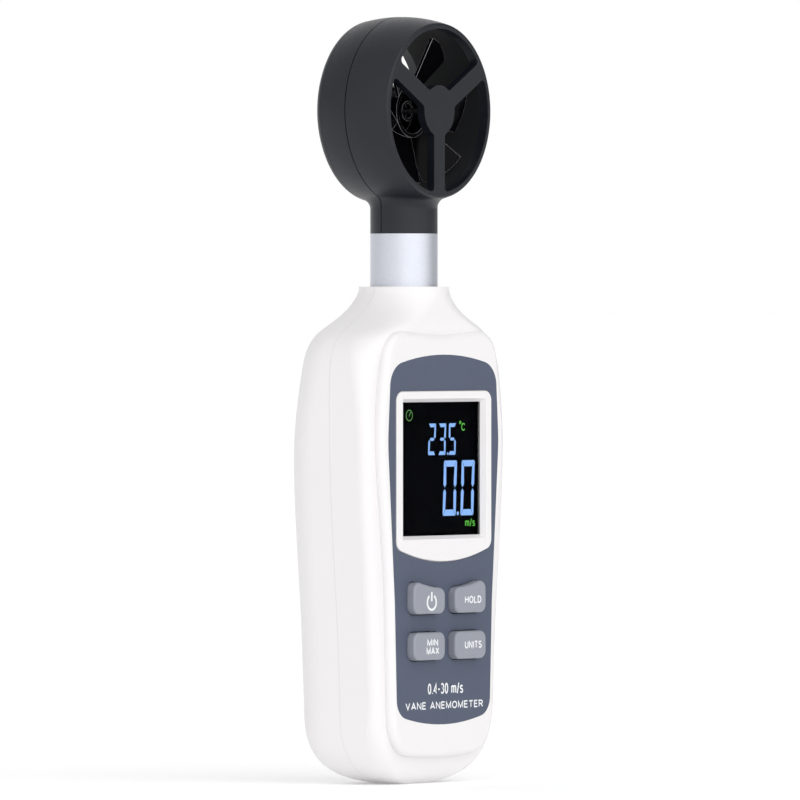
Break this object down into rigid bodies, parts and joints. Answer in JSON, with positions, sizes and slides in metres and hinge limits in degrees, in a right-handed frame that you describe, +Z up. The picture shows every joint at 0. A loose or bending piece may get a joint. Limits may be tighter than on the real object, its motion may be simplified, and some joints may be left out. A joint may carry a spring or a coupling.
{
  "type": "vane anemometer",
  "caption": "Handheld vane anemometer with a white moulded case, display and keys, swivelling metal neck and round black duct with a spinning rotor behind spoked guards.",
  "frame": {"origin": "under the middle of the whole object's box, at the lowest point of the case's rounded end", "axes": "+Z up the case from its rounded end to the duct, the display faces -Y, +X to the right as the display is read"},
  "size_m": [0.0546, 0.0288, 0.175],
  "materials": {
    "case_white": "fine moulded satin",
    "overlay_grey": "matt printed sheet",
    "window": "clear polished",
    "display_black": "polished black glass",
    "frame_plastic": "moulded",
    "rubber": "smooth rubber",
    "lead_sleeve": "smooth sleeve",
    "circuit_board": "solder mask",
    "chip_black": "moulded epoxy",
    "key_grey": "satin moulded",
    "cell_sleeve": "plain printed sleeve",
    "spring_steel": "nickel plated",
    "anodised": "bead-blasted, clear anodised",
    "head_black": "fine matt moulded",
    "bush_brass": "turned",
    "rotor_black": "polished moulded",
    "magnet_grey": "sintered"
  },
  "bodies": {
    "case": {"front_cover": "case_white", "rear_cover": "case_white", "panel_overlay": "overlay_grey", "display_window": "window", "lcd_module": "display_black", "lcd_frame": "frame_plastic", "contact_strips": "rubber", "main_board": "circuit_board", "board_components": "chip_black", "tact_switches": "chip_black", "lead_socket": "frame_plastic", "board_lead": "lead_sleeve", "battery_tray": "frame_plastic", "battery_left": "cell_sleeve", "battery_middle": "cell_sleeve", "battery_right": "cell_sleeve", "battery_contacts": "spring_steel", "battery_springs": "spring_steel", "housing_screws": "spring_steel", "neck_seal": "rubber"},
    "battery_door": {"battery_cover": "case_white"},
    "power_key": {"power_button": "key_grey"},
    "hold_key": {"hold_button": "key_grey"},
    "min_max_key": {"min_max_button": "key_grey"},
    "units_key": {"units_button": "key_grey"},
    "head": {"head_front_shell": "head_black", "head_rear_shell": "head_black", "front_bush": "bush_brass", "rear_bush": "bush_brass", "neck_tube": "anodised", "retaining_clip": "spring_steel", "pulse_sensor_board": "circuit_board", "pulse_sensor": "chip_black", "temperature_sensor": "bush_brass", "sensor_lead": "lead_sleeve"},
    "rotor": {"impeller": "rotor_black", "rotor_shaft": "spring_steel", "rotor_magnet": "magnet_grey"}
  },
  "joints": [
    {"name": "rotor_spin", "type": "hinge", "parent": "head", "child": "rotor", "pos_m": [0, -0.00112, 0.1535], "axis": [0, 1, 0], "continuous": true},
    {"name": "head_swivel", "type": "hinge", "parent": "case", "child": "head", "pos_m": [0, -0.00112, 0.1195], "axis": [0, 0, 1], "range_deg": [-90, 90]},
    {"name": "battery_cover_tilt", "type": "hinge", "parent": "case", "child": "battery_door", "pos_m": [0, 0.01438, 0.0172], "axis": [-1, 0, 0], "range_deg": [0, 75]},
    {"name": "power_press", "type": "slide", "parent": "case", "child": "power_key", "axis": [0, 1, 0], "range_m": [0, 0.0008], "stiffness_N_per_m": 1500, "springref_m": -0.0002},
    {"name": "hold_press", "type": "slide", "parent": "case", "child": "hold_key", "axis": [0, 1, 0], "range_m": [0, 0.0008], "stiffness_N_per_m": 1500, "springref_m": -0.0002},
    {"name": "min_max_press", "type": "slide", "parent": "case", "child": "min_max_key", "axis": [0, 1, 0], "range_m": [0, 0.0008], "stiffness_N_per_m": 1500, "springref_m": -0.0002},
    {"name": "units_press", "type": "slide", "parent": "case", "child": "units_key", "axis": [0, 1, 0], "range_m": [0, 0.0008], "stiffness_N_per_m": 1500, "springref_m": -0.0002}
  ]
}
